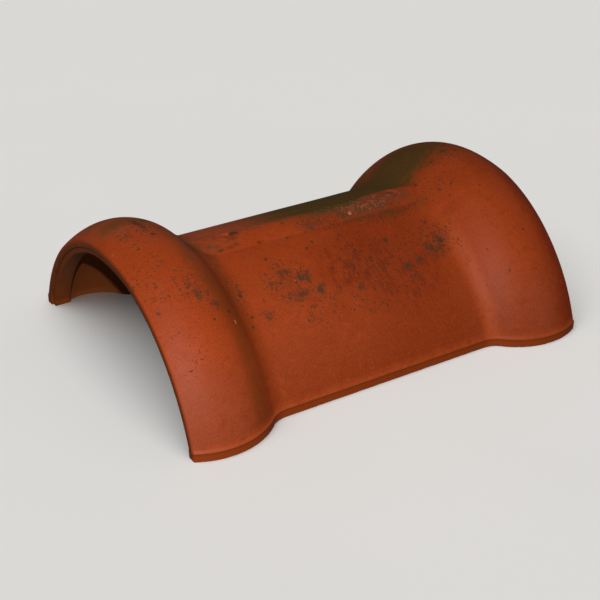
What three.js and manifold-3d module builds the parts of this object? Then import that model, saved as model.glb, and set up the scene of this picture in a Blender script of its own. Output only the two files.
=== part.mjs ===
// Clay ridge tile: one pressed and fired piece. A half-barrel body with a rolled
// collar at each end, a low rib along the crown and an upright band at each foot.
// Millimetres, +Z up, length along X, feet on z = 0, origin under the middle.
import * as THREE from "three";
import { mergeVertices } from "three/addons/utils/BufferGeometryUtils.js";
import Module from "manifold-3d";

// ---- driving dimensions ----
const LENGTH = 420; // end face to end face
const WALL = 12.5; // fired clay thickness

const BODY_CROWN = 105.8; // height of the body's arch over the floor
const BODY_CROWN_R = 110; // radius of its crown arc
const BODY_CROWN_ARC = 15; // degrees of that arc to each side of the crown line
const BODY_HALF_WIDTH = 139.9; // from the crown line out to the foot

const CREST_CROWN = 136.4; // the same four sizes for the crest of a collar
const CREST_CROWN_R = 157.3;
const CREST_CROWN_ARC = 33;
const CREST_HALF_WIDTH = 165.5;

const ROLL_AT = 34.8; // collar's crest, from the end face
const ROLL_R_CROWN = 53.3; // radius of the collar's roll along the tile, at the crown
const ROLL_R_FOOT = 71.3; // and at the foot
const VALLEY_R_CROWN = 14; // fillet between collar and body, at the crown
const VALLEY_R_FOOT = 22.6; // and at the foot

const HOLLOW_AT = 31.8; // deepest part of the collar's hollow, from the end face
const HOLLOW_R = 47.6; // its radius along the tile
const HOLLOW_VALLEY_R = 10; // fillet between the hollow and the bore
const CREST_EXTRA = 1.7; // clay added to the wall under the crest

const LIP = 7; // outer lip of the end face, measured across the wall
const LIP_STEP = 2.3; // the ring beside it is set back by this
const RING_LENGTH = 18; // end face to the ring's back edge
const RING_SLOPE = 3.4; // length of the slope from the ring out to the hollow

const RIB_RISE = 5.6; // crown rib over the body
const RIB_HALF_WIDTH = 18.7;
const RIB_ROUND = 5; // rounding of its ridge
const RIB_BLEND = 6; // sharpness of the join between rib and collar

const BAND = 8.1; // height of the upright band at the foot
const FLARE_UP = 3.1; // the wall flares out over the band, this high
const FLARE_OUT = 2.4; // and this far

const NAIL_AT = 117; // nail seats on the crown line, from each end face
const SEAT_D = 19; // round seat sunk in the rib
const SEAT_DEEP = 3.2;
const SEAT_DRAFT = 1.2; // its side leans out by this over its depth
const BOSS_D = 8; // low boss in the middle of the seat
const BOSS_RISE = 1.1;

const ROLL_STEPS = 11; // stations over a roll, outside
const VALLEY_STEPS = 7; // and round the fillet beside it
const HOLLOW_STEPS = 9;
const HOLLOW_VALLEY_STEPS = 4;
const SIDE_STEPS = 15; // lines down one side of the section
const RIB_STEPS = 6; // and across half the rib
const SEAT_FACETS = 32;

const mix = (from, to, share) => from + (to - from) * share;
const steps = (from, to, count) => Array.from({ length: count + 1 }, (_, i) => mix(from, to, i / count));

// ---- section across the tile ----
// Half an arch as two tangent arcs, ending on top of the flare over the band.
// a runs from 0 at the crown to 1 at the foot; ny, nz is the outward normal.
function arch(crown, crownR, crownArc, halfWidth) {
  const turn = THREE.MathUtils.degToRad(crownArc);
  const meetY = crownR * Math.sin(turn);
  const meetZ = crown - crownR * (1 - Math.cos(turn));
  const across = halfWidth - FLARE_OUT - meetY;
  const down = meetZ - BAND - FLARE_UP;
  const sideTurn = 2 * (Math.atan2(down, across) - turn);
  const sideR = Math.hypot(across, down) / (2 * Math.sin(sideTurn / 2));
  return (a) => {
    const t = a * (turn + sideTurn);
    const [ny, nz] = [Math.sin(t), Math.cos(t)];
    if (t <= turn) return { y: crownR * ny, z: crown - crownR + crownR * nz, ny, nz };
    return {
      y: meetY + sideR * (ny - Math.sin(turn)),
      z: meetZ + sideR * (nz - Math.cos(turn)),
      ny,
      nz,
    };
  };
}
const bodyArch = arch(BODY_CROWN, BODY_CROWN_R, BODY_CROWN_ARC, BODY_HALF_WIDTH);
const crestArch = arch(CREST_CROWN, CREST_CROWN_R, CREST_CROWN_ARC, CREST_HALF_WIDTH);

// Point of the body at a, with the direction and distance from it to the crest.
function section(a) {
  const body = bodyArch(a);
  const crest = crestArch(a);
  const rise = Math.hypot(crest.y - body.y, crest.z - body.z);
  return { ...body, rise, uy: (crest.y - body.y) / rise, uz: (crest.z - body.z) / rise };
}

// ---- profiles along the tile, s measured from the nearer end face ----
// A roll of radius r whose crest stands at height rise, run out to 0 by a fillet.
function rollSizes(rise, r, fillet) {
  const reach = Math.sqrt((r + fillet) ** 2 - (r - rise + fillet) ** 2);
  return { reach, touch: (reach * r) / (r + fillet) };
}
function rollHeight(u, rise, r, fillet) {
  const { reach, touch } = rollSizes(rise, r, fillet);
  if (u <= touch) return rise - r + Math.sqrt(r * r - u * u);
  if (u >= reach) return 0;
  return fillet - Math.sqrt(fillet * fillet - (reach - u) ** 2);
}
const side = (a) => Math.sin((a * Math.PI) / 2) ** 2; // 0 at the crown, 1 at the foot
const rollR = (a) => mix(ROLL_R_CROWN, ROLL_R_FOOT, side(a));
const valleyR = (a) => mix(VALLEY_R_CROWN, VALLEY_R_FOOT, side(a));

function ribHeight(y) {
  const soft = (t) => Math.hypot(t, RIB_ROUND) - RIB_ROUND;
  return RIB_RISE * Math.max(0, 1 - soft(Math.abs(y)) / soft(RIB_HALF_WIDTH));
}
const lift = (p, d) => [p.y + p.uy * d, p.z + p.uz * d];
const sink = (p, [y, z], d) => [y - p.ny * d, z - p.nz * d];

function collar(s, a) {
  const p = section(a);
  return rollHeight(s - ROLL_AT, p.rise, rollR(a), valleyR(a));
}
const outside = (s) => (a) => {
  const p = section(a);
  const both = collar(s, a) ** RIB_BLEND + ribHeight(p.y) ** RIB_BLEND;
  return lift(p, both ** (1 / RIB_BLEND));
};
const inset = (depth) => (a) => sink(section(a), lift(section(a), collar(0, a)), depth);
const inside = (s) => (a) => {
  const p = section(a);
  const hollow = rollHeight(s - HOLLOW_AT, p.rise - CREST_EXTRA, HOLLOW_R, HOLLOW_VALLEY_R);
  return sink(p, lift(p, hollow), WALL);
};

// Stations of one half: over the outside to the end face, then back inside.
const crownRise = section(0).rise;
const footRise = section(1).rise;
const outerRoll = rollSizes(crownRise, ROLL_R_CROWN, VALLEY_R_CROWN);
const outerFoot = rollSizes(footRise, ROLL_R_FOOT, VALLEY_R_FOOT);
const innerRoll = rollSizes(crownRise - CREST_EXTRA, HOLLOW_R, HOLLOW_VALLEY_R);
const outerStations = [
  ...steps(ROLL_AT + outerFoot.reach, ROLL_AT + outerRoll.touch, VALLEY_STEPS),
  ...steps(ROLL_AT + outerRoll.touch, 0, ROLL_STEPS).slice(1),
];
const hollowStations = [
  ...steps(RING_LENGTH + RING_SLOPE, HOLLOW_AT + innerRoll.touch, HOLLOW_STEPS),
  ...steps(HOLLOW_AT + innerRoll.touch, HOLLOW_AT + innerRoll.reach, HOLLOW_VALLEY_STEPS).slice(1),
];
const half = [
  ...outerStations.map((s) => ({ s, surface: outside(s), banded: true })),
  { s: 0, surface: inset(LIP) },
  { s: LIP_STEP, surface: inset(LIP) },
  { s: LIP_STEP, surface: inset(WALL) },
  { s: RING_LENGTH, surface: inset(WALL) },
  ...hollowStations.map((s) => ({ s, surface: inside(s) })),
];
const ring = [
  ...half.map((p) => ({ ...p, x: p.s - LENGTH / 2 })),
  ...half.map((p) => ({ ...p, x: LENGTH / 2 - p.s })).reverse(),
];

// Share of the arch at which the rib's edge lies.
function ribShare() {
  let [lo, hi] = [0, 1];
  while (hi - lo > 1e-9) {
    const middle = (lo + hi) / 2;
    if (bodyArch(middle).y < RIB_HALF_WIDTH) lo = middle;
    else hi = middle;
  }
  return lo;
}
const edge = ribShare();
const shares = [...steps(1, edge, SIDE_STEPS), ...steps(edge, 0, RIB_STEPS).slice(1)];

// One side of the section, foot to crown: [y, z] with y growing away from the middle.
function sideLine({ surface, banded }) {
  const [y, z] = surface(1);
  const foot = banded
    ? [[y + FLARE_OUT, 0], [y + FLARE_OUT, BAND]]
    : [[y, 0], [y, z / 2]];
  return [...foot, ...shares.map(surface)];
}

// ---- closed surface: each line down the section is a closed loop along the tile ----
function tileShell() {
  const columns = ring.map((p) => {
    const line = sideLine(p);
    const near = line.map(([y, z]) => [p.x, -y, z]);
    const far = line.slice(0, -1).reverse().map(([y, z]) => [p.x, y, z]);
    return [...near, ...far];
  });
  const m = columns.length;
  const n = columns[0].length;
  const at = (i, j) => (i % m) * n + j;
  const faces = [];
  for (let i = 0; i < m; i++)
    for (let j = 0; j < n - 1; j++) {
      faces.push(at(i, j), at(i, j + 1), at(i + 1, j));
      faces.push(at(i + 1, j), at(i, j + 1), at(i + 1, j + 1));
    }
  // the two feet, each turned to match the side it closes
  const turned = (p, q, r) => Math.sign((q.x - p.x) * (r.y - p.y) - (q.y - p.y) * (r.x - p.x));
  for (const j of [0, n - 1]) {
    const outline = columns.map((c) => new THREE.Vector2(c[j][0], c[j][1]));
    const want = Math.sign(THREE.ShapeUtils.area(outline)) * (j === 0 ? 1 : -1);
    for (const [a, b, c] of THREE.ShapeUtils.triangulateShape(outline, [])) {
      const asIs = turned(outline[a], outline[b], outline[c]) === want;
      faces.push(at(a, j), at(asIs ? b : c, j), at(asIs ? c : b, j));
    }
  }
  const g = new THREE.BufferGeometry();
  g.setAttribute("position", new THREE.Float32BufferAttribute(columns.flat(2), 3));
  g.setIndex(faces);
  return g;
}

// Cutter for a nail seat: stands on z = 0, the top of the rib, and reaches down into it.
function seatCutter() {
  const clear = CREST_CROWN - BODY_CROWN; // higher than anything over the seat
  const r = SEAT_D / 2;
  const profile = [
    [0, BOSS_RISE - SEAT_DEEP],
    [BOSS_D / 4, 0.8 * BOSS_RISE - SEAT_DEEP],
    [BOSS_D / 2, -SEAT_DEEP],
    [r - SEAT_DRAFT, -SEAT_DEEP],
    [r, 0],
    [r, clear],
    [0, clear],
  ];
  const g = new THREE.LatheGeometry(profile.map(([x, y]) => new THREE.Vector2(x, y)), SEAT_FACETS);
  return g.rotateX(Math.PI / 2);
}

const wasm = await Module();
wasm.setup();

function toSolid(geometry) {
  const g = geometry.clone();
  g.deleteAttribute("normal");
  g.deleteAttribute("uv");
  const merged = mergeVertices(g);
  return new wasm.Manifold(
    new wasm.Mesh({
      numProp: 3,
      vertProperties: new Float32Array(merged.attributes.position.array),
      triVerts: new Uint32Array(merged.index.array),
    }),
  );
}

function toGeometry(solid) {
  const mesh = solid.getMesh();
  const g = new THREE.BufferGeometry();
  g.setAttribute("position", new THREE.BufferAttribute(mesh.vertProperties, mesh.numProp));
  g.setIndex(new THREE.BufferAttribute(mesh.triVerts, 1));
  g.computeVertexNormals();
  return g;
}

let solid = toSolid(tileShell());
for (const end of [-1, 1]) {
  const seat = seatCutter().translate(end * (LENGTH / 2 - NAIL_AT), 0, BODY_CROWN + RIB_RISE);
  solid = solid.subtract(toSolid(seat));
}

const clay = new THREE.MeshStandardMaterial({
  name: "fired_clay",
  color: 0xb0653f,
  roughness: 0.75,
  metalness: 0,
});
const tile = new THREE.Mesh(toGeometry(solid), clay);
tile.name = "ridge_tile";

const group = new THREE.Group();
group.name = "clay_ridge_tile";
group.add(tile);
export default group;
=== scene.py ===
import math
from types import SimpleNamespace

import bpy
from bpy.props import FloatProperty, FloatVectorProperty, IntProperty, PointerProperty
from bpy.types import NodeSocket, Operator, Panel, PropertyGroup
from mathutils import Matrix, Vector


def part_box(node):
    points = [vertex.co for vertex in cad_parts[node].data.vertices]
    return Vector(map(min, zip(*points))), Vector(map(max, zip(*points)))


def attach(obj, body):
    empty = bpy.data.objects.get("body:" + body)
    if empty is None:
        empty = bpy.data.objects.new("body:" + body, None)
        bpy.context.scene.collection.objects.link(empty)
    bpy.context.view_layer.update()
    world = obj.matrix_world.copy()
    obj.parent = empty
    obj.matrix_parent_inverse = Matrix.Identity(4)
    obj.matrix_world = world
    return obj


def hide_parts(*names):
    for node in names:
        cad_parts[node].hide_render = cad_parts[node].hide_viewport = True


bl_info = {
    "name": "Clay ridge tile",
    "version": (1, 0, 0),
    "blender": (4, 5, 0),
    "location": "3D View > Sidebar > Ridge Tile",
    "description": "Weathered clay ridge tile with a rolled collar at each end",
    "category": "Object",
}

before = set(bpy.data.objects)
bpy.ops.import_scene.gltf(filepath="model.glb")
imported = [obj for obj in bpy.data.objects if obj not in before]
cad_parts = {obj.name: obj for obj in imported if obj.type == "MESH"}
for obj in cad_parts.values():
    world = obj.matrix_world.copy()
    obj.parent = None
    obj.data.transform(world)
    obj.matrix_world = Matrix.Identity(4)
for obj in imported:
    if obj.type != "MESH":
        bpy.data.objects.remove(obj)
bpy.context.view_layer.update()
TILE_LOW, TILE_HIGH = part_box("ridge_tile")
HALF_LENGTH = (TILE_HIGH[0] - TILE_LOW[0]) / 2
MM = 0.001

# The stage: places in metres, and where a sun stands as (azimuth, elevation) in degrees.
FLOOR_REACH = 40.0
FLOOR_DROP = 0.2 * MM
KEY_PLACE = Vector((-605.0, -820.0, 771.0)) * MM
ROOM_SUN = (-60.0, 70.0)
BACK_SUN = (165.0, 4.0)
VIEW_PLACE = Vector((-590.57, -916.94, 642.36)) * MM
VIEW_AIM = Vector((0.4645, 0.7323, -0.4980))
VIEW_ROLL = math.radians(0.77)


def length(name, default, description):
    return FloatProperty(name=name, description=description, default=default, unit="LENGTH")


def angle(name, degrees, description):
    return FloatProperty(
        name=name, description=description, default=math.radians(degrees), subtype="ANGLE"
    )


def share(name, default, description):
    return FloatProperty(
        name=name, description=description, default=default, min=0.0, max=1.0, subtype="FACTOR"
    )


def strength(name, default, description):
    return FloatProperty(name=name, description=description, default=default, min=0.0)


def colour(name, default, description):
    return FloatVectorProperty(
        name=name, description=description, default=default, size=3, min=0.0, max=1.0, subtype="COLOR"
    )


# ---------------------------------------------------------------- sizes and colours
class RidgeTileSizes(PropertyGroup):
    """Sizes of the pressed tile"""

    wall: length("Wall", 12.5 * MM, "Thickness of the fired clay")
    body_crown: length("Body height", 105.8 * MM, "Top of the body's arch over the floor")
    body_crown_r: length("Body crown radius", 110 * MM, "Radius of the arc at the top of the body")
    body_crown_arc: angle("Body crown arc", 15, "How far that arc turns to each side")
    body_half_width: length("Body half width", 139.9 * MM, "Crown line to the outside of a foot")
    crest_crown: length("Crest height", TILE_HIGH[2], "Top of a collar over the floor")
    crest_crown_r: length("Crest crown radius", 157.3 * MM, "Radius of the arc at the top of a collar")
    crest_crown_arc: angle("Crest crown arc", 33, "How far that arc turns to each side")
    crest_half_width: length("Crest half width", TILE_HIGH[1], "Crown line to the outside of a collar")
    roll_at: length("Crest place", 34.8 * MM, "Crest of a collar from the end face")
    roll_r_crown: length("Roll radius at the crown", 53.3 * MM, "Radius of the collar along the tile")
    roll_r_foot: length("Roll radius at the foot", 71.3 * MM, "Radius of the collar along the tile")
    valley_r_crown: length("Valley at the crown", 38 * MM, "Fillet between collar and body")
    valley_r_foot: length("Valley at the foot", 25 * MM, "Fillet between collar and body")
    hollow_at: length("Hollow place", 31.8 * MM, "Deepest part of the hollow from the end face")
    hollow_r: length("Hollow radius", 47.6 * MM, "Radius of the hollow along the tile")
    hollow_valley_r: length("Hollow fillet", 10 * MM, "Fillet between the hollow and the bore")
    crest_extra: length("Extra clay", 1.7 * MM, "Clay added to the wall under the crest")
    rib_rise: length("Rib height", 5.6 * MM, "Rib over the body at the crown")
    rib_half_width: length("Rib half width", 18.7 * MM, "Crown line to the rib's edge")
    rib_round: length("Rib rounding", 5 * MM, "Rounding of the rib's ridge")
    band: length("Band height", 8.1 * MM, "Height of the upright band at the foot")
    flare_up: length("Flare height", 3.1 * MM, "Height over which the wall flares out")
    flare_out: length("Flare width", 2.4 * MM, "How far the wall flares out")
    nail_at: length("Nail seat place", 117 * MM, "Nail seats from the end faces")
    seat_r: length("Nail seat radius", 9.5 * MM, "Radius of a nail seat")
    seat_deep: length("Nail seat depth", 3.2 * MM, "Depth of a nail seat below the rib's ridge")
    boss_r: length("Boss radius", 4 * MM, "Radius of the low boss in the seat")
    boss_rise: length("Boss height", 1.1 * MM, "Height of that boss over the seat's floor")
    unevenness: length("Unevenness", 0.35 * MM, "Broad hand-pressed unevenness of the faces")
    pressed_grain: length("Pressed grain", 0.07 * MM, "Fine unevenness of the faces")
    ragged: length("Ragged foot", 2.0 * MM, "Deepest nick in the lower edge of the feet")


class ClayFinish(PropertyGroup):
    """Colours and wear of the fired clay"""

    clay: colour("Clay", (0.222, 0.0298, 0.0042), "Clean fired clay")
    clay_bright: colour("Bright clay", (0.262, 0.038, 0.0066), "Clay where it is worn and dry")
    # painted light: the lit strip in the right valley and the light line along the rounded edge over the
    # band
    clay_pale: colour("Pale clay", (0.262, 0.0420, 0.0085), "Rubbed clay beside the right collar")
    # pinker colour low on the collars
    clay_dusty: colour("Dusty clay", (0.208, 0.0405, 0.0158), "Pinker clay low on the collars")
    clay_low: colour("Low clay", (0.186, 0.0282, 0.0054), "Clay low down on the sides")
    # also laid as painted shade on the left collar's shoulder
    clay_deep: colour("Deep clay", (0.160, 0.0185, 0.0012), "Clay where it was fired harder")
    # painted shade at the right end, where the collar turns away from the lamp
    clay_end: colour("End clay", (0.150, 0.0125, 0.0005), "Hardest fired clay at the right end")
    clay_dark: colour("Dark grain", (0.120, 0.0170, 0.0020), "Dark grain in the clay")
    red_stain: colour("Red stain", (0.118, 0.0120, 0.0012), "Dark red stain on the body")
    olive: colour("Olive film", (0.085, 0.0260, 0.0040), "Thin olive film in the hollows")
    rib_bloom: colour("Rib bloom", (0.088, 0.0285, 0.0110), "Greyish bloom on the rib")
    dust: colour("Dust", (0.096, 0.0360, 0.0060), "Dust on the left collar's crown")
    seat_dust: colour("Seat dust", (0.165, 0.0440, 0.0190), "Greyish pink dust round the nail seats")
    soot: colour("Soot", (0.053, 0.0290, 0.0036), "Dark grey-green soot and lichen")
    flank_soot: colour("Collar soot", (0.055, 0.0265, 0.0046), "Browner soot on the right collar")
    crust: colour("Crust", (0.046, 0.0200, 0.0078), "Dark specks and crusts")
    dirt: colour("Dirt", (0.086, 0.0190, 0.0020), "Brown dirt under the arch")
    # painted shade deep under the arch
    deep_dirt: colour("Deep dirt", (0.046, 0.0150, 0.0016), "Black-brown dirt deep under the arch")
    # brown dirt on the end faces; also laid as painted shade beside the left collar and as a painted
    # shadow along the top of the band
    end_dirt: colour("End dirt", (0.092, 0.0215, 0.0020), "Brown dirt on the end faces")
    band: colour("Band", (0.190, 0.0295, 0.0030), "Darker clay of the band along the feet")
    pink_grain: colour("Pink grain", (0.36, 0.088, 0.042), "Small pinkish grains on the rib")
    lime: colour("Lime", (0.40, 0.125, 0.064), "Pale grains and chips")
    lime_pale: colour("Pale lime", (0.42, 0.14, 0.08), "Driest parts of a lime grain")
    roughness: share("Roughness", 0.57, "Roughness of the clean clay")
    speckle: share("Speckle", 0.85, "How strongly the dark specks show")


class StageLook(PropertyGroup):
    """Floor, lights and camera"""

    floor_colour: colour("Floor", (0.92, 0.92, 0.92), "Plain pale floor")
    key: strength("Key light", 77.0, "Power of the lamp beside the camera")
    key_size: length("Key size", 12 * MM, "Radius of that lamp")
    room: strength("Room light", 2.0, "Strength of the light on the floor")
    back: strength("Back light", 1.5, "Strength of the light from behind")
    back_colour: colour("Back light colour", (1.0, 0.78, 0.50), "Warm light from behind")
    fill: strength("Fill light", 0.18, "Strength of the soft room light")
    fill_colour: colour("Fill light colour", (1.0, 0.92, 0.78), "Warm soft room light")
    lens: FloatProperty(name="Lens", description="Focal length in millimetres", default=76.36, min=1.0)


class GrainScatter(PropertyGroup):
    """Loose pale grains stuck to the crown"""

    size: length("Grain size", 1.5 * MM, "Widest grain")
    spacing: length("Least spacing", 3.0 * MM, "Least distance between two grains")
    seed: IntProperty(name="Seed", description="Choice of the grains' places", default=7, min=0)


# ---------------------------------------------------------------- numbers carried by nodes
def add_node(tree, kind, inputs=None, **settings):
    """A new node; inputs gives each place a Number, a socket to link, or a plain value to hold"""
    node = tree.nodes.new(kind)
    for name, value in settings.items():
        setattr(node, name, value)
    for place, value in (inputs or {}).items():
        if isinstance(value, Number):
            value = value.socket
        if isinstance(value, NodeSocket):
            tree.links.new(value, node.inputs[place])
        else:
            node.inputs[place].default_value = value
    return node


class Number:
    """A number carried by a node socket, with the usual arithmetic."""

    def __init__(self, tree, socket):
        self.tree = tree
        self.socket = socket

    def reckon(self, kind, *values):
        """The result of one Math node on the values, each a Number or a plain value"""
        node = add_node(self.tree, "ShaderNodeMath", dict(enumerate(values)), operation=kind)
        return Number(self.tree, node.outputs[0])

    def op(self, kind, *others):
        return self.reckon(kind, self, *others)

    def __add__(self, other):
        return self.op("ADD", other)

    def __radd__(self, other):
        return self.op("ADD", other)

    def __sub__(self, other):
        return self.op("SUBTRACT", other)

    def __rsub__(self, other):
        return self.reckon("SUBTRACT", other, self)

    def __mul__(self, other):
        return self.op("MULTIPLY", other)

    def __truediv__(self, other):
        return self.op("DIVIDE", other)

    def __pow__(self, other):
        return self.op("POWER", other)

    def least(self, other):
        return self.op("MINIMUM", other)

    def most(self, other):
        return self.op("MAXIMUM", other)

    def above(self, other):
        """1 where this is greater than other, 0 elsewhere"""
        return self.op("GREATER_THAN", other)

    def root(self):
        return self.most(0.0).op("SQRT")

    def square(self):
        return self * self

    def sin(self):
        return self.op("SINE")

    def cos(self):
        return self.op("COSINE")

    def size(self):
        return self.op("ABSOLUTE")

    def smooth(self, low, high):
        """0 at low, 1 at high, eased at both ends; low may be the greater"""
        inputs = {"Value": self, "From Min": low, "From Max": high}
        node = add_node(self.tree, "ShaderNodeMapRange", inputs, interpolation_type="SMOOTHSTEP")
        return Number(self.tree, node.outputs["Result"])


def mix(low, high, part):
    return low + (high - low) * part


def pick(test, yes, no):
    """yes where test is 1, no where it is 0"""
    return mix(no, yes, test)


def strongest(numbers):
    """The greatest of several Numbers, point by point"""
    most, *others = numbers
    for other in others:
        most = most.most(other)
    return most


# ---------------------------------------------------------------- the tile's rule in nodes
class ArchRule:
    """Half an arch of two tangent arcs, from the crown to the top of the flare over the band."""

    def __init__(self, crown, crown_r, turn, half_width, foot_z, flare_out):
        self.crown, self.crown_r, self.turn = crown, crown_r, turn
        self.meet_y = crown_r * turn.sin()
        self.meet_z = crown - crown_r * (1.0 - turn.cos())
        across = half_width - flare_out - self.meet_y
        down = self.meet_z - foot_z
        self.side_turn = (down.op("ARCTAN2", across) - turn) * 2.0
        self.side_r = (across.square() + down.square()).root() / ((self.side_turn * 0.5).sin() * 2.0)

    def at(self, a):
        """Place and outward normal at a, 0 at the crown and 1 at the foot: (y, z, ny, nz)"""
        t = a * (self.turn + self.side_turn)
        ny, nz = t.sin(), t.cos()
        on_side = t.above(self.turn)
        side_y = self.meet_y + self.side_r * (ny - self.turn.sin())
        side_z = self.meet_z + self.side_r * (nz - self.turn.cos())
        y = pick(on_side, side_y, self.crown_r * ny)
        z = pick(on_side, side_z, self.crown - self.crown_r + self.crown_r * nz)
        return y, z, ny, nz


def roll_height(u, rise, r, fillet):
    """Height of a roll of radius r with its crest at rise, run out to nothing by a fillet."""
    reach = ((r + fillet).square() - (r - rise + fillet).square()).root()
    touch = reach * r / (r + fillet)
    over = rise - r + (r.square() - u.square()).root()
    into = fillet - (fillet.square() - (reach - u).square()).root()
    return pick(u.above(reach), 0.0, pick(u.above(touch), into, over))


def new_tree(name, sizes):
    """A Geometry Nodes tree with a named input for each size: (tree, its input node, the numbers)"""
    tree = bpy.data.node_groups.new(name, "GeometryNodeTree")
    tree.interface.new_socket("Geometry", in_out="INPUT", socket_type="NodeSocketGeometry")
    tree.interface.new_socket("Geometry", in_out="OUTPUT", socket_type="NodeSocketGeometry")
    for label, value in sizes.items():
        kind = "NodeSocketInt" if isinstance(value, int) else "NodeSocketFloat"
        socket = tree.interface.new_socket(label, in_out="INPUT", socket_type=kind)
        socket.default_value = value
    start = tree.nodes.new("NodeGroupInput")
    numbers = {label: Number(tree, start.outputs[label]) for label in sizes}
    return tree, start, SimpleNamespace(**numbers)


def attribute(tree, name):
    """A number that the mesh carries at each point"""
    node = add_node(tree, "GeometryNodeInputNamedAttribute", {"Name": name}, data_type="FLOAT")
    return Number(tree, node.outputs["Attribute"])


def vector_of(tree, *parts):
    return add_node(tree, "ShaderNodeCombineXYZ", dict(enumerate(parts))).outputs[0]


def parts_of(tree, vector):
    """The three parts of a vector, as Numbers"""
    node = add_node(tree, "ShaderNodeSeparateXYZ", {0: vector})
    return [Number(tree, output) for output in node.outputs]


def stretched(tree, place, times):
    """A place with each part multiplied"""
    return add_node(tree, "ShaderNodeVectorMath", {0: place, 1: times}, operation="MULTIPLY").outputs[0]


def noise_at(tree, place, scale, detail=2.0, rough=0.5, stretch=None):
    """Noise about 0, from -0.5 to 0.5, at a place"""
    if stretch is not None:
        place = stretched(tree, place, stretch)
    inputs = {"Vector": place, "Scale": scale, "Detail": detail, "Roughness": rough}
    return Number(tree, add_node(tree, "ShaderNodeTexNoise", inputs).outputs[0]) - 0.5


def finish_tree(tree, geometry, material):
    """The tree's last nodes: instances made real, one material, the output"""
    real = add_node(tree, "GeometryNodeRealizeInstances", {"Geometry": geometry})
    inputs = {"Geometry": real.outputs["Geometry"], "Material": material}
    coat = add_node(tree, "GeometryNodeSetMaterial", inputs)
    add_node(tree, "NodeGroupOutput", {"Geometry": coat.outputs["Geometry"]})


def run_tree(obj, tree, values):
    """Puts the tree on obj with its inputs set, and leaves obj as the plain mesh it makes."""
    modifier = obj.modifiers.new(tree.name, "NODES")
    modifier.node_group = tree
    for item in tree.interface.items_tree:
        if item.item_type == "SOCKET" and item.in_out == "INPUT" and item.name in values:
            modifier[item.identifier] = values[item.name]
    depsgraph = bpy.context.evaluated_depsgraph_get()
    made = bpy.data.meshes.new_from_object(obj.evaluated_get(depsgraph))
    obj.modifiers.clear()
    old = obj.data
    obj.data = made
    bpy.data.meshes.remove(old)
    made.name = obj.name
    if not made.polygons:
        raise RuntimeError(f"{obj.name}: its node tree made no faces")
    return obj


BLEND = 6.0  # how sharply the rib and a collar meet
SEAT_FLOOR = 0.84  # share of a nail seat's radius that is floor
SEAT_REACH = 1.12  # how far out a seat's ragged rim can reach, in seat radii
SEAT_WOBBLE = 1.2 * MM  # unevenness of that rim
SEAT_GRAIN = 0.3 * MM  # roughness of a seat's floor
SOLE_OUTER = 1.5 * MM  # rounding of the sole's outer and inner edges
SOLE_INNER = 1.0 * MM


def sunk_seats(n, run, inside, y, z, wobble, fine):
    """Height of the outside with the nail seats: round, with a low boss, sunk in the rib's ridge"""
    from_seat = ((run - n.nail_at).square() + y.square()).root()
    ridge = n.body_crown + n.rib_rise
    rim = ((from_seat + wobble * SEAT_WOBBLE) / n.seat_r - SEAT_FLOOR).most(0.0) / (1 - SEAT_FLOOR)
    boss = (1.0 - (from_seat / n.boss_r).square()).most(0.0) * n.boss_rise
    seat_floor = ridge - n.seat_deep + boss + n.seat_deep * rim.least(1.0)
    in_seat = (1.0 - inside) * (from_seat / n.seat_r).op("LESS_THAN", SEAT_REACH)
    return pick(in_seat, z.least(seat_floor + (fine + 0.5) * SEAT_GRAIN), z)


def shaped_foot(n, foot, banded, y, z, ragged):
    """Place of a point on the foot: down the flare, the upright band and the ragged lower edge"""
    first = foot.least(1.0)
    second = (foot - 1.0).most(0.0).least(1.0)
    third = (foot - 2.0).most(0.0)
    nick = ((ragged - 0.01).most(0.0) * 8.0).least(1.0) * n.ragged
    outer_y = y + n.flare_out * first.square()
    outer_z = z - n.flare_up * first - (n.band - nick) * second - nick * third * 4.0
    outer_z = outer_z.most(0.0)
    inner_z = (z * (1.0 - (foot * 0.5).least(1.0))).most(0.0)
    drawn_in = pick(banded, outer_y - third * 2.0 * SOLE_OUTER, y + third * 2.0 * SOLE_INNER)
    on_foot = foot.above(0.0)
    return pick(on_foot, drawn_in, y), pick(on_foot, pick(banded, outer_z, inner_z), z)


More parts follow.
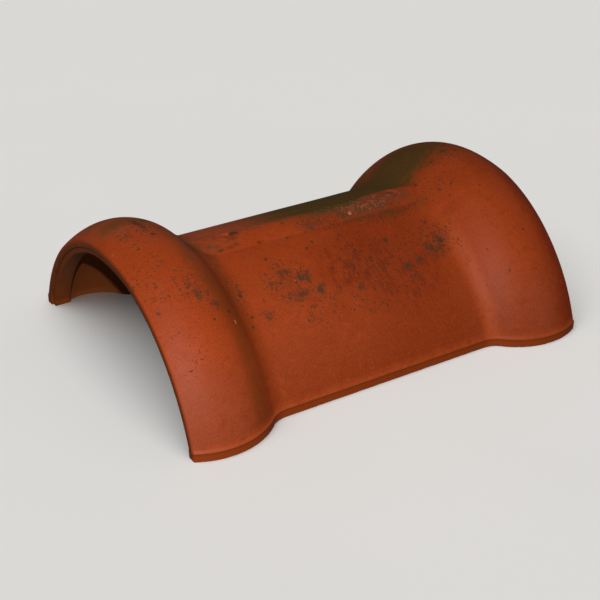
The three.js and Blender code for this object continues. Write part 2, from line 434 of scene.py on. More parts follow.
def shell_tree(sizes, material):
    """The tree that bends the flat net of the shell into the tile."""
    values = {name: getattr(sizes, name) for name in RidgeTileSizes.__annotations__}
    values["half_length"] = HALF_LENGTH
    tree, start, n = new_tree("Ridge tile rule", values)

    run = attribute(tree, "run")  # along the tile, from the nearer end face
    profile_run = attribute(tree, "profile_run")  # the same, held at 0 on the ring
    end = attribute(tree, "end")  # -1 left, 1 right
    hand = attribute(tree, "hand")  # -1 near side, 1 far side
    a = attribute(tree, "arc_share")
    inside = attribute(tree, "inside")
    inset = attribute(tree, "inset")
    foot = attribute(tree, "foot")

    flare = n.band + n.flare_up, n.flare_out
    body = ArchRule(n.body_crown, n.body_crown_r, n.body_crown_arc, n.body_half_width, *flare)
    crest = ArchRule(n.crest_crown, n.crest_crown_r, n.crest_crown_arc, n.crest_half_width, *flare)
    by, bz, ny, nz = body.at(a)
    cy, cz, _, _ = crest.at(a)
    rise = ((cy - by).square() + (cz - bz).square()).root()
    uy, uz = (cy - by) / rise, (cz - bz) / rise

    side = (a * (math.pi / 2)).sin().square()
    roll_r = mix(n.roll_r_crown, n.roll_r_foot, side)
    valley_r = mix(n.valley_r_crown, n.valley_r_foot, side)
    collar = roll_height(profile_run - n.roll_at, rise, roll_r, valley_r)
    soft_y = (by.square() + n.rib_round.square()).root() - n.rib_round
    soft_edge = (n.rib_half_width.square() + n.rib_round.square()).root() - n.rib_round
    rib = (n.rib_rise * (1.0 - soft_y / soft_edge)).most(0.0)
    # the rib runs softly into the collars: a power mean of the two heights, in millimetres
    outside = ((collar * 1000.0) ** BLEND + (rib * 1000.0) ** BLEND) ** (1 / BLEND) * MM
    under_crest = rise - n.crest_extra
    hollow = roll_height(run - n.hollow_at, under_crest, n.hollow_r, n.hollow_valley_r)
    lift = pick(inside, hollow, outside)

    # relief: broad and fine unevenness, only ever sunk into the clay
    x = end * (n.half_length - run)
    flat = vector_of(tree, x, hand * (by + uy * lift), bz + uz * lift)
    broad = noise_at(tree, flat, 16.0, 1.0)
    fine = noise_at(tree, flat, 160.0, 2.0)
    uneven = (broad + 0.5).size() * n.unevenness + (fine + 0.5).size() * n.pressed_grain
    sunk = inset + pick(inside, n.wall, 0.0) + uneven * (1.0 - foot.least(1.0))

    y = by + uy * lift - ny * sunk
    z = bz + uz * lift - nz * sunk

    z = sunk_seats(n, run, inside, y, z, noise_at(tree, flat, 240.0, 1.0), fine)
    foot_place = vector_of(tree, x, inside * 0.3 + inset, hand * 0.2)
    ragged = noise_at(tree, foot_place, 55.0, 5.0, 0.75)
    y, z = shaped_foot(n, foot, attribute(tree, "banded"), y, z, ragged)
    inputs = {"Geometry": start.outputs["Geometry"], "Position": vector_of(tree, x, hand * y, z)}
    place = add_node(tree, "GeometryNodeSetPosition", inputs)
    finish_tree(tree, place.outputs["Geometry"], material)
    return tree, values


# ---------------------------------------------------------------- the flat net of the shell
def spread(start, *stretches):
    """Places from start on, in even steps: each stretch is (end, about this step)."""
    places = [start]
    for stop, step in stretches:
        count = max(1, round(abs(stop - places[-1]) / step))
        first = places[-1]
        places += [first + (stop - first) * k / count for k in range(1, count + 1)]
    return places


VALLEY_END = 72 * MM  # from the end face, where the fine stations of the valley stop
HOLLOW_END = 85 * MM  # the same inside, past the hollow
BODY_TURN = math.radians(64.6)  # about how far the body's arch turns, from the crown to a foot
# Steps down a foot: 0 is the wall, 1 the flare's lower end, 2 the band's, 2.5 the sole's edge.
FOOT_STEPS = [2.5, 2.0, 1.9, 1.7, 1.4, 1.12, 1.0, 0.96, 0.85, 0.7, 0.5, 0.25]


def station(run, profile_run, inset=0.0, inside=0.0, banded=1.0):
    """One row of the net: its place from the end face, how far it lies under the outside, and its face"""
    return dict(run=run, profile_run=profile_run, inset=inset, inside=inside, banded=banded)


def net_stations(sizes):
    """Stations round one half of the tile, from its middle over the outside to the inside."""
    seat = sizes.nail_at
    close = 11 * MM  # half the stretch of fine stations at a nail seat
    lip, ring = 7 * MM, 18 * MM  # width of the flat lip, and depth of the ring behind it
    step_back = 2.3 * MM  # the ring's face behind the lip
    soft = 1.1 * MM  # rounding of the end face's outer edge
    outer = spread(
        HALF_LENGTH,
        (seat + close, 3.0 * MM),
        (seat - close, 0.8 * MM),
        (VALLEY_END, 1.6 * MM),
        (soft * 2, 2.2 * MM),
    )
    rows = [station(s, s) for s in outer]
    for turn in (0.0, 22.5, 45.0, 67.5, 90.0):
        t = math.radians(turn)
        run = soft * (1 - math.sin(t))
        rows.append(station(run, run, soft * (1 - math.cos(t))))
    for run, inset in (
        (0.0, lip / 2), (0.0, lip - 0.5 * MM), (0.15 * MM, lip - 0.15 * MM), (0.5 * MM, lip),
        (step_back - 0.1 * MM, lip), (step_back, lip + 0.2 * MM), (step_back, sizes.wall - 0.4 * MM),
        (step_back + 0.1 * MM, sizes.wall - 0.1 * MM), (step_back + 0.4 * MM, sizes.wall),
        (ring / 2, sizes.wall), (ring - 0.5 * MM, sizes.wall), (ring, sizes.wall - 0.4 * MM),
    ):  # fmt: skip
        rows.append(station(run, 0.0, inset, banded=0.0))
    inner = spread(ring + 3.4 * MM, (HOLLOW_END, 3.2 * MM), (HALF_LENGTH, 7 * MM))
    return rows + [station(s, s, inside=1.0, banded=0.0) for s in inner]


def net_lines(sizes):
    """Lines across the tile, from the near foot to the far foot: (arc share, foot, hand)"""
    edge = math.asin(sizes.rib_half_width / sizes.body_crown_r) / BODY_TURN
    shares = spread(1.0, (edge * 1.25, 0.0115), (edge, 0.006), (0.0, 0.0052))
    side = [(1.0, f) for f in FOOT_STEPS] + [(s, 0.0) for s in shares]
    near = [(s, f, -1.0) for s, f in side]
    return near + [(s, f, 1.0) for s, f in reversed(side[:-1])]


def shell_net(sizes):
    """A closed net of the shell whose vertices carry their place in the tile's rule."""
    # the right half and back along the left: the two middles are shared, so the ring closes
    half = net_stations(sizes)
    ring = [dict(row, end=1.0) for row in half] + [dict(row, end=-1.0) for row in reversed(half[1:-1])]
    lines = net_lines(sizes)
    m, count = len(ring), len(lines)
    faces = []
    for i in range(m):
        k = (i + 1) % m
        for j in range(count - 1):
            faces.append((i * count + j, k * count + j, k * count + j + 1, i * count + j + 1))
    # the soles of the feet: the outer and inner edges joined between matching stations
    first = outer_start(ring)
    in_turn = [(first + k) % m for k in range(m)]
    outer = [i for i in in_turn if ring[i]["banded"]]
    inner = [i for i in reversed(in_turn) if not ring[i]["banded"]]

    def along(i):
        return ring[i]["end"] * (HALF_LENGTH - ring[i]["run"])

    for j, flip in ((0, False), (count - 1, True)):
        p = q = 0
        while p < len(outer) - 1 or q < len(inner) - 1:
            step_outer = q == len(inner) - 1 or (
                p < len(outer) - 1 and along(outer[p + 1]) <= along(inner[q + 1])
            )
            here, there = outer[p] * count + j, inner[q] * count + j
            if step_outer:
                p += 1
                face = (here, there, outer[p] * count + j)
            else:
                q += 1
                face = (here, there, inner[q] * count + j)
            faces.append(face[::-1] if flip else face)
    mesh = bpy.data.meshes.new("tile_shell")
    points = [(i * MM, j * MM, 0.0) for i in range(m) for j in range(count)]
    mesh.from_pydata(points, [], faces)
    columns = {name: [row[name] for row in ring for _ in lines] for name in ring[0]}
    columns["arc_share"] = [s for s, _, _ in lines] * m
    columns["foot"] = [f for _, f, _ in lines] * m
    columns["hand"] = [h for _, _, h in lines] * m
    for name, numbers in columns.items():
        layer = mesh.attributes.new(name, "FLOAT", "POINT")
        layer.data.foreach_set("value", numbers)
    mesh.update()
    return mesh


def outer_start(ring):
    """Index of the first banded station after the left end face, so that outer runs left to right."""
    m = len(ring)
    for i in range(m):
        if ring[i]["banded"] and not ring[i - 1]["banded"]:
            return i
    raise RuntimeError("the net has no outside")


# ---------------------------------------------------------------- the clay's finish
SHAKE = 4.5  # how far the ragged place is moved, in millimetres


class Paint:
    """Builds a material's masks and colours on Object coordinates; x, y and z are in millimetres."""

    def __init__(self, name):
        self.material = bpy.data.materials.new(name)
        self.material.use_nodes = True
        self.tree = self.material.node_tree
        self.shader = self.tree.nodes["Principled BSDF"]
        self.place = add_node(self.tree, "ShaderNodeTexCoord").outputs["Object"]
        self.x, self.y, self.z = (part * 1000.0 for part in parts_of(self.tree, self.place))
        self.colour = None

    def noise(self, scale, detail=3.0, rough=0.55, stretch=None):
        return noise_at(self.tree, self.place, scale, detail, rough, stretch)

    def vector(self, kind, *values):
        """One Vector Math node on the values"""
        return add_node(self.tree, "ShaderNodeVectorMath", dict(enumerate(values)), operation=kind)

    def distance(self, centre, place=None):
        """How far the place is from centre, in metres; centre is in millimetres"""
        node = self.vector("DISTANCE", place or self.place, [c * MM for c in centre])
        return Number(self.tree, node.outputs["Value"])

    def patch(self, centre, radii, core=0.35):
        """1 inside a soft ellipsoid given in millimetres, 0 outside it"""
        shares = [1000 / r for r in radii]
        node = self.vector("MULTIPLY_ADD", self.place, shares, [-c / r for c, r in zip(centre, radii)])
        far = self.vector("LENGTH", node.outputs[0])
        return Number(self.tree, far.outputs["Value"]).smooth(1.0, core)

    def patches(self, marks, core=0.35):
        """The strongest of several patches: each is (centre, radii, strength)"""
        return strongest([self.patch(centre, radii, core) * most for centre, radii, most in marks])

    def start(self, colour):
        node = self.tree.nodes.new("ShaderNodeRGB")
        node.outputs[0].default_value = (*colour, 1.0)
        self.colour = node.outputs[0]

    def lay(self, colour, mask):
        """Lays a colour over what is there, where mask is 1"""
        inputs = {"Factor": mask, "A": self.colour, "B": (*colour, 1.0)}
        node = add_node(self.tree, "ShaderNodeMix", inputs, data_type="RGBA", clamp_factor=True)
        self.colour = node.outputs["Result"]

    def finish(self, roughness, height, depth, strength):
        """Joins colour, roughness and relief to the shader"""
        links = self.tree.links
        links.new(self.colour, self.shader.inputs["Base Color"])
        if isinstance(roughness, Number):
            links.new(roughness.socket, self.shader.inputs["Roughness"])
        else:
            self.shader.inputs["Roughness"].default_value = roughness
        inputs = {"Strength": strength, "Distance": depth, "Height": height}
        bump = add_node(self.tree, "ShaderNodeBump", inputs)
        links.new(bump.outputs["Normal"], self.shader.inputs["Normal"])
        return self.material


class ClayPaint(Paint):
    """Paint for the tile: what its mesh carries at each point, and the noises that its layers share."""

    def __init__(self, name):
        super().__init__(name)
        self.inside = self.carried("inside")
        self.ring = (self.carried("banded") * -1.0 + 1.0 - self.inside).most(0.0)
        self.foot = self.carried("foot")
        self.open_face = 1.0 - self.inside
        self.band = self.foot.smooth(0.99, 1.06) * self.open_face
        self.cloud = self.noise(34.0, 4.0, 0.6)
        self.mottle = self.noise(130.0, 4.0, 0.65)
        self.edge = self.noise(55.0, 5.0, 0.7)
        self.grain = self.noise(760.0, 3.0, 0.75)
        self.drip = self.noise(190.0, 3.0, 0.6, stretch=(1.0, 0.42, 0.42))
        self.dot = self.noise(640.0, 1.0, 0.5)
        # the place, moved a little by noise so that outlines become ragged
        shaken = add_node(self.tree, "ShaderNodeTexNoise", {"Vector": self.place, "Scale": 700.0})
        moved = self.vector("MULTIPLY_ADD", shaken.outputs["Color"], (SHAKE * MM,) * 3, self.place)
        self.ragged_place = moved.outputs[0]

    def carried(self, name):
        """A number that the mesh itself carries at each point"""
        node = add_node(self.tree, "ShaderNodeAttribute", attribute_name=name)
        return Number(self.tree, node.outputs["Fac"])

    def pits(self, scale):
        """Distance to the nearest pit, in cell sizes"""
        inputs = {"Vector": self.place, "Scale": scale}
        return Number(self.tree, add_node(self.tree, "ShaderNodeTexVoronoi", inputs).outputs["Distance"])

    def specks(self, size, chance, stretch, widest):
        """Separate ragged marks, one to a cell of size mm; chance is the share of cells that hold one"""
        drawn = stretched(self.tree, self.ragged_place, stretch)
        cell = add_node(self.tree, "ShaderNodeTexVoronoi", {"Vector": drawn, "Scale": 1000.0 / size})
        lot = add_node(self.tree, "ShaderNodeSeparateColor", {0: cell.outputs["Color"]})
        reach = ((chance - Number(self.tree, lot.outputs[0])) * 5.0).least(widest)
        return (reach - Number(self.tree, cell.outputs["Distance"])).smooth(0.0, 0.09)

    def spots(self, marks):
        """Small dark spots, each (centre, radius) in millimetres, with ragged outlines"""
        spots = []
        for centre, radius in marks:
            # the ragged place lies half the shake away on average
            far = self.distance([c + SHAKE / 2 for c in centre], self.ragged_place)
            spots.append((far * (1000 / radius)).smooth(1.35, 0.75))
        return strongest(spots)


# Marks on this tile, each (centre, radii, strength), in millimetres in the tile's frame.
# Where specks stand thick, the strength is the share of places that hold one.
SPECKLED = [
    ((-118, -60, 93), (18, 54, 36), 0.48),
    ((-112, -62, 89), (8, 20, 20), 0.85),
    ((-64, -66, 86), (44, 36, 32), 0.50),
    ((-40, -92, 70), (40, 32, 30), 0.42),
    ((30, -78, 80), (90, 60, 54), 0.44),
    ((100, -64, 89), (38, 34, 34), 0.60),
    ((-3, -14, 107), (26, 12, 10), 1.00),
    ((16, -17, 106), (44, 14, 9), 0.60),
    ((70, -24, 103), (60, 20, 14), 0.55),
    ((134, -16, 120), (36, 34, 24), 0.34),
    ((158, 14, 132), (44, 40, 20), 0.40),
    ((0, -60, 80), (170, 100, 60), 0.10),
    ((150, -70, 108), (60, 90, 80), 0.06),
]
COLLAR_SPECKLED = [
    ((-164, -74, 112), (28, 38, 34), 0.55),
    ((-190, -50, 115), (34, 64, 46), 0.42),
    ((-176, 2, 132), (36, 36, 22), 0.42),
    ((-176, 28, 133), (40, 18, 12), 0.85),
    ((-190, -110, 90), (36, 70, 66), 0.14),
]
CRUST = [
    ((-168, -73, 117), (6, 7, 8), 0.70),
    ((-164, -84, 110), (6, 9, 10), 0.90),
    ((-152, -81, 109), (7, 8, 8), 0.50),
    ((-150, -91, 102), (9, 8, 8), 0.70),
    ((-64, -59, 91), (11, 9, 8), 0.75),
    ((-48, -66, 88), (13, 11, 9), 0.65),
    ((-61, -80, 79), (17, 10, 10), 0.70),
    ((-38, -80, 78), (9, 9, 9), 0.60),
    ((-84, -64, 88), (9, 9, 8), 0.30),
    ((-97, -88, 73), (11, 12, 11), 0.60),
    ((1, -88, 73), (7, 7, 7), 0.45),
    ((3, -106, 57), (7, 7, 8), 0.45),
    ((108, -66, 87), (12, 12, 10), 0.60),
    ((90, -74, 82), (16, 9, 10), 0.45),
    ((-170, 20, 135), (5, 12, 4), 0.90),
    ((-167, -6, 136), (6, 5, 4), 0.90),
    ((-82, 0, 111), (6, 7, 5), 0.95),
    ((-114, -10, 108), (7, 4, 4), 0.60),
    ((164, 11, 135), (8, 7, 5), 0.70),
    ((-8, -14, 107), (16, 8, 6), 0.50),
]
SMUDGES = [
    ((-61, -80, 79), (15, 11, 10), 0.50),
    ((-45, -68, 87), (12, 10, 9), 0.50),
    ((-65, -57, 92), (10, 8, 7), 0.50),
    ((-68, -68, 86), (18, 12, 12), 0.26),
    ((-33, -78, 80), (6, 7, 7), 0.45),
    ((-97, -88, 73), (8, 10, 9), 0.35),
    ((-37, -80, 78), (6, 7, 8), 0.60),
    ((3, -106, 57), (5, 5, 6), 0.50),
    ((1, -88, 73), (5, 5, 5), 0.40),
    ((52, -54, 93), (5, 5, 5), 0.45),
    ((57, -83, 76), (7, 8, 8), 0.85),
    ((72, -81, 78), (8, 8, 8), 0.85),
    ((98, -78, 80), (18, 13, 12), 0.42),
    ((108, -69, 85), (6, 6, 6), 0.40),
    ((-163, -82, 111), (7, 9, 9), 0.50),
    ((-150, -90, 103), (10, 7, 8), 0.50),
    ((-170, 24, 135), (3, 12, 3), 0.55),
    ((-167, -6, 136), (7, 3, 3), 0.60),
    ((-190, 2, 134), (9, 3, 4), 0.50),
    ((-82, 1, 111), (7, 7, 5), 1.30),
    ((-86, -7, 110), (5, 4, 4), 0.90),
    ((-114, -9, 110), (14, 7, 7), 0.72),
    ((-121, -5, 111), (8, 6, 7), 0.55),
    ((-106, -11, 109), (9, 6, 6), 0.50),
    ((-8, -14, 107), (18, 8, 6), 0.30),
    ((-202, -85, 104), (4, 4, 5), 0.50),
    ((-104, -15.5, 106), (9, 3.2, 4), 0.85),
    ((-94, -15, 106), (8, 3.2, 4), 0.85),
    ((-87, -13, 107), (5, 4.5, 4), 0.80),
]
DARK_SPOTS = [
    ((-37, -20, 104), 1.4), ((-18, -34, 101), 1.6), ((-27, -39, 99), 1.5), ((17, -49, 95), 1.4),
    ((16, -55, 92), 1.6), ((52, -54, 93), 2.0), ((125, -1, 111), 1.7), ((125, -11, 108), 1.4),
    ((148, 6, 129), 1.8), ((-33, -4, 111), 1.3), ((-159, -103, 95), 1.4), ((-140, -93, 92), 1.9),
    ((-202, -85, 104), 1.5), ((-209, -53, 116), 1.3), ((176, -106, 95), 1.3), ((147, -125, 67), 1.2),
    ((137, -102, 82), 1.2), ((106, -69, 85), 2.4), ((-71, -39, 99), 1.5), ((103, -47, 96), 1.5),
    ((-113, -86, 74), 1.6), ((-117, -94, 69), 1.6), ((-114, -67, 87), 2.0), ((-91, -87, 74), 1.2),
    ((-170, 28, 134), 3.0), ((-169, 21, 135), 3.0), ((-168, 16, 135), 2.4), ((-169, 9, 136), 2.8),
    ((-171, 2, 136), 1.8), ((-168, 1, 136), 1.5), ((-167, -7, 136), 2.0), ((-165, -8, 136), 1.5),
    ((-84, 3, 110), 2.2), ((-80, 2, 111), 2.0),
]  # fmt: skip
ROUND_MARK, ROUND_MARK_R = (-188, 19, 134), 6.5
# patch of painted shade on the near shoulder of the left collar
SHOULDER_SHADE = ((-192, -64, 110), (44, 84, 64))
GRAINY_RIB = ((64, -5, 109), (50, 14, 11))
RED_STAIN = [
    ((16, -66, 86), (66, 46, 42), 1.0),
    ((54, -90, 70), (60, 44, 42), 0.8),
    ((-64, -17, 105), (5, 3, 4), 2.0),
]
OLIVE = [
    ((-130, -8, 111), (15, 24, 16), 0.95),
    ((-140, -16, 119), (10, 18, 11), 0.80),
    ((-122, -20, 104), (15, 10, 8), 0.85),
    ((-118, -16, 106), (14, 8, 7), 0.6),
    ((46, -21, 104), (34, 6.0, 6), 1.0),
    ((-2, -4, 111), (40, 9, 7), 0.65),
    ((34, 2, 111), (30, 9, 7), 0.50),
    ((78, -24, 103), (36, 8, 7), 0.75),
    ((114, -22, 107), (20, 14, 10), 0.45),
    ((-126, 30, 106), (22, 30, 16), 0.6),
    ((-136, -2, 118), (18, 28, 18), 0.85),
    ((-176, 38, 130), (46, 22, 14), 1.0),
    ((-176, 66, 120), (50, 36, 24), 0.9),
    ((-156, 10, 132), (12, 34, 12), 0.5),
]
CROWN_DUST = [
    ((-192, 30, 130), (26, 20, 14), 0.95),
    ((-164, 26, 133), (24, 18, 12), 0.8),
]
RIB_BLOOM = [
    ((20, -1, 111), (32, 14, 11), 1.00),
    ((42, -6, 110), (32, 22, 14), 1.10),
    ((68, -8, 109), (36, 19, 14), 0.85),
    ((98, -8, 109), (30, 15, 12), 0.52),
    ((94, 3, 110), (14, 8, 6), 0.85),
]
SEAT_FILM = [
    ((-93, -3, 109), (11, 10, 5), 0.60),
    ((-108, -8, 109), (12, 9, 5), 0.60),
    ((-114, -10, 108), (9, 5, 5), 0.80),
    ((94, -2, 110), (12, 10, 6), 0.50),
]
PALE_CHIPS = [
    ((38, -13, 107), (2.6, 2.4, 3.2), 1.0),
    ((-207, -8, 126), (1.5, 2.2, 2.2), 0.5),
    ((-209, 60, 107), (2, 4, 4), 0.8),
    ((-137.5, -100, 84.5), (1.3, 2.6, 4.0), 1.0),
    ((-57, -67, 87), (1.2, 1.2, 1.5), 0.8),
]


# Where the collars begin and end along the tile, for the layers that follow them.
LEFT_COLLAR = -150.0
LEFT_VALLEY, LEFT_SLOPE, LEFT_SHOULDER = -140.0, -127.0, -147.0
RIGHT_VALLEY, RIGHT_FLANK = 120.0, 118.0


def base_colour_and_light(p, clay):
    """The clay's colour: even, a little deeper low down and over the right half, with painted shade at
    the right end and on the left collar's shoulder, and painted light in the right valley.
    """
    broad, cloud, mottle = p.noise(9.0, 3.0), p.cloud, p.mottle
    p.start(clay.clay)
    p.lay(clay.clay_bright, (broad * 1.2 + cloud * 0.8).smooth(0.02, 0.30) * 0.35)
    p.lay(clay.clay_low, p.z.smooth(92.0, 32.0) * 0.9)
    right_half = p.x.smooth(-30.0, 36.0) * p.x.smooth(116.0, 78.0)
    p.lay(clay.clay_deep, right_half * (0.72 + cloud * 0.9))
    p.lay(clay.clay_deep, (broad * -1.3 - cloud * 0.9).smooth(0.02, 0.32) * 0.5)
    # painted shade: the right end darker, where it turns away from the lamp
    p.lay(clay.clay_end, (p.x + cloud * 30.0).smooth(180.0, 207.0) * p.open_face)
    p.lay(clay.clay_deep, p.z.smooth(48.0, 18.0) * 0.28)
    # painted shade on the near shoulder of the left collar
    p.lay(clay.clay_deep, p.patch(*SHOULDER_SHADE, 0.2) * 0.34 * p.open_face)
    low_collar = p.z.smooth(84.0, 30.0) * p.x.size().smooth(138.0, 168.0) * p.x.smooth(192.0, 170.0)
    p.lay(clay.clay_dusty, low_collar * 0.5 * p.open_face)
    # painted light: a paler strip in the right valley, where the slope faces the lamp
    lit_strip = (p.x - RIGHT_VALLEY + cloud * 5.0).size().smooth(11.0, 1.0) * p.y.smooth(-50.0, -84.0)
    p.lay(clay.clay_pale, lit_strip * 0.85)
    p.lay(clay.clay_bright, (mottle + cloud * 0.3).smooth(0.03, 0.22) * 0.40)
    p.lay(clay.clay_deep, (mottle * -1.0 + cloud * 0.3).smooth(0.03, 0.22) * 0.50)
    p.lay(clay.clay_bright, p.grain.smooth(0.0, 0.20) * 0.75)
    p.lay(clay.clay_dark, (p.grain * -1.0).smooth(0.0, 0.24) * 0.75)


def red_stain(p, clay):
    """Dark red stain run down over the right half of the body"""
    red = p.patches(RED_STAIN, 0.3) * p.open_face
    p.lay(clay.red_stain, red * ((p.drip * 1.1 + p.mottle * 0.8).smooth(-0.05, 0.17) * 0.62 + 0.20))


def olive_film_and_shade(p, clay):
    """Olive film in the hollows, and painted shade down the valley, back slope and shoulder beside the
    left collar: gives the film's mask
    """
    cloud = p.cloud
    film = p.patches(OLIVE, 0.1) * (0.85 + cloud * 1.4) * p.open_face
    streaky = 0.9 + p.drip * 1.4
    p.lay(clay.olive, film * 0.80)
    # painted shade down the valley beside the left collar, stronger further down the near side
    valley = (p.x - LEFT_VALLEY + cloud * 6.0).size().smooth(14.0, 2.0) * p.y.smooth(-30.0, -90.0)
    p.lay(clay.end_dirt, valley * p.open_face * 0.42)
    # painted shade on the left collar's back slope, streaked
    slope = (p.x - LEFT_SLOPE + cloud * 14.0 + p.mottle * 8.0).size().smooth(19.0, 2.0)
    slope = slope * p.y.smooth(-136.0, -84.0) * p.y.smooth(6.0, -34.0)
    p.lay(clay.end_dirt, slope * streaky * p.open_face * 0.40)
    # painted shade in olive on the left collar's back shoulder, up to the crown
    shoulder = (p.x - LEFT_SHOULDER + cloud * 10.0).size().smooth(15.0, 1.0)
    shoulder = shoulder * p.y.smooth(-112.0, -60.0) * p.y.smooth(30.0, 6.0)
    p.lay(clay.olive, shoulder * streaky * p.open_face * 0.46)
    return film


def bloom_and_dust(p, clay):
    """Dry bloom along the right half of the rib, dust on the left collar and round the nail seats"""
    mottle = p.mottle
    bloom = p.patches(RIB_BLOOM, 0.15) * (0.95 + mottle * 2.2 + p.edge) * p.open_face
    p.lay(clay.rib_bloom, bloom.smooth(0.0, 0.9) * 0.92)
    dusty = (mottle * 2.6 + p.drip * 1.6 + 0.45).smooth(0.0, 0.7)
    p.lay(clay.dust, p.patches(CROWN_DUST, 0.1) * dusty * p.open_face * 0.70)
    round_mark = (p.distance(ROUND_MARK) * 1000.0 - ROUND_MARK_R).size().smooth(1.8, 0.4)
    round_mark = round_mark + p.patch(ROUND_MARK, (6.0, 6.0, 6.0)) * 0.6
    p.lay(clay.seat_dust, round_mark * p.open_face * 0.55)
    seat_film = (p.patches(SEAT_FILM, 0.1) * (0.9 + mottle * 2.0)).least(1.0)
    p.lay(clay.seat_dust, seat_film * 0.75)


def soot(p, clay):
    """Soot and lichen beyond the crown line and on the flank of the right collar: gives its mask"""
    x, y, edge, cloud, mottle = p.x, p.y, p.edge, p.cloud, p.mottle
    line = x.smooth(50.0, 84.0) * 14.0 - (x - 28.0).size().smooth(42.0, 12.0) * 4.0
    over = (y + edge * 14.0 - line).smooth(-3.0, 7.0)
    run_in = (x + edge * 60.0 + cloud * 30.0).smooth(-84.0, 30.0) * x.smooth(150.0, 118.0)
    flank_fade = (x + edge * 50.0 + cloud * 30.0).smooth(222.0, 152.0) * x.smooth(96.0, 112.0)
    beyond = (x - RIGHT_FLANK).most(0.0)
    spread_out = beyond * 0.27 + mottle * 34.0 + p.dot * 22.0
    flank_low = ((y + edge * 20.0 - 3.0 + spread_out) / (beyond * 0.7 + 11.0)).smooth(0.0, 1.0)
    flank_far = (y + cloud * 40.0 + mottle * 30.0).smooth(122.0, 60.0)
    sooty = (over * run_in).most(flank_low * flank_far * flank_fade) * p.open_face
    worn_off = (y + p.drip * 120.0 + cloud * 160.0).smooth(60.0, 128.0) * x.smooth(136.0, 108.0)
    patchy = (mottle * 1.6 + p.drip * 0.9 + 1.10 - worn_off).least(1.0).most(0.0)
    p.lay(clay.flank_soot, sooty * patchy)
    p.lay(clay.soot, sooty * patchy * x.smooth(128.0, 104.0))
    p.lay(clay.clay_deep, sooty * (mottle + edge * 0.5).smooth(0.06, 0.22) * 0.14)
    return sooty


def specks_and_crusts(p, clay):
    """Dark specks and crusts, drawn out down the slope or along the left collar: gives their mask"""
    crusted = p.patches(CRUST, 0.1)
    rough_up = (0.85 + p.mottle * 4.0 + p.cloud * 2.0).most(0.15)
    chance = p.patches(SPECKLED, 0.25) * rough_up + crusted * 0.6
    collar_chance = p.patches(COLLAR_SPECKLED, 0.25) * rough_up + crusted * 0.6
    widest = crusted * 0.26 + 0.46
    on_collar = p.x.smooth(LEFT_COLLAR + 6.0, LEFT_COLLAR - 6.0)
    everywhere = chance * (1.0 - on_collar) + collar_chance * on_collar
    on_body = p.specks(2.0, chance * 1.25 * p.x.above(LEFT_COLLAR), (1.1, 0.42, 0.42), widest)
    along_collar = p.specks(2.2, collar_chance * on_collar, (0.40, 1.1, 1.1), widest)
    fine = p.specks(1.4, everywhere * 1.1, (1.0, 0.7, 0.7), widest)
    specks = strongest([on_body, along_collar, fine * 0.8]) * p.open_face
    smudge = p.patches(SMUDGES, 0.0) * (0.75 + p.mottle * 3.0 + p.dot * 1.2)
    p.lay(clay.crust, (smudge * p.open_face).least(0.85))
    p.lay(clay.crust, specks * clay.speckle * (0.82 + p.drip * 1.8 + p.cloud).least(1.0).most(0.42))
    p.lay(clay.crust, p.spots(DARK_SPOTS) * 0.9)
    return specks


def chips_and_grains(p, clay):
    """Pale chips, and pinkish grains on the rib"""
    grainy = p.patches(RIB_BLOOM, 0.0) * 0.24 + p.patch(*GRAINY_RIB) * 0.34
    p.lay(clay.pink_grain, p.specks(1.6, grainy, (1.0, 1.0, 1.0), 0.5) * 0.62)
    p.lay(clay.lime, (p.patches(PALE_CHIPS, 0.3) + p.dot * 0.8).smooth(0.25, 0.6) * 0.8)


def feet_and_arch(p, clay):
    """The band, with a painted highlight along the rounded edge over it and a painted shadow along its
    upper edge, and the dirt under the arch with painted shade deep inside
    """
    # painted highlight: a light line along the rounded edge over the band, where the edge catches the
    # lamp
    worn = p.z.smooth(15.5, 10.5) * (1.0 - p.band) * p.open_face * (1.0 - p.ring)
    p.lay(clay.clay_pale, worn * (0.44 + p.mottle * 1.5))
    p.lay(clay.band, p.band * (0.85 + p.mottle * 0.8))
    # painted shadow along the top of the band, under the rounded edge
    p.lay(clay.end_dirt, p.band * p.foot.smooth(1.36, 1.12) * 0.55)
    p.lay(clay.dirt, p.foot.smooth(1.9, 2.1) * 0.7)
    p.lay(clay.dirt, p.inside * (0.95 + p.cloud * 0.4))
    # painted shade deep under the arch
    p.lay(clay.deep_dirt, p.x.size().smooth(178.0, 120.0) * p.inside * 0.75)
    p.lay(clay.end_dirt, p.ring * (0.85 + p.mottle))


def clay_material(clay):
    """Weathered terracotta, one layer over another, some layers painted light and shade"""
    p = ClayPaint("weathered_terracotta")
    base_colour_and_light(p, clay)
    red_stain(p, clay)
    film = olive_film_and_shade(p, clay)
    bloom_and_dust(p, clay)
    sooty = soot(p, clay)
    specks = specks_and_crusts(p, clay)
    chips_and_grains(p, clay)
    feet_and_arch(p, clay)

    dull = strongest([sooty, p.inside, specks])
    rough = (clay.roughness + dull * 0.35 + p.grain * 0.12 + film * 0.2).least(0.97)
    pits = p.pits(300.0).smooth(0.10, 0.22)
    height = p.grain * 0.45 + p.mottle * 0.6 + specks * 0.5 + sooty * (p.drip * 1.2) + pits * 0.35
    material = p.finish(rough, height, 0.6 * MM, 0.5)
    p.shader.inputs["Specular IOR Level"].default_value = 0.12
    return material


def grain_material(clay):
    """Dry lime: pale, matt, a little pink from the clay's dust."""
    p = Paint("lime_grain")
    p.start(clay.lime)
    p.lay(clay.lime_pale, p.noise(600.0, 3.0).smooth(-0.05, 0.25))
    p.lay(clay.clay_bright, p.noise(900.0, 2.0).smooth(0.02, 0.22) * 0.6)
    return p.finish(0.9, p.noise(2500.0, 3.0), 0.2 * MM, 0.4)


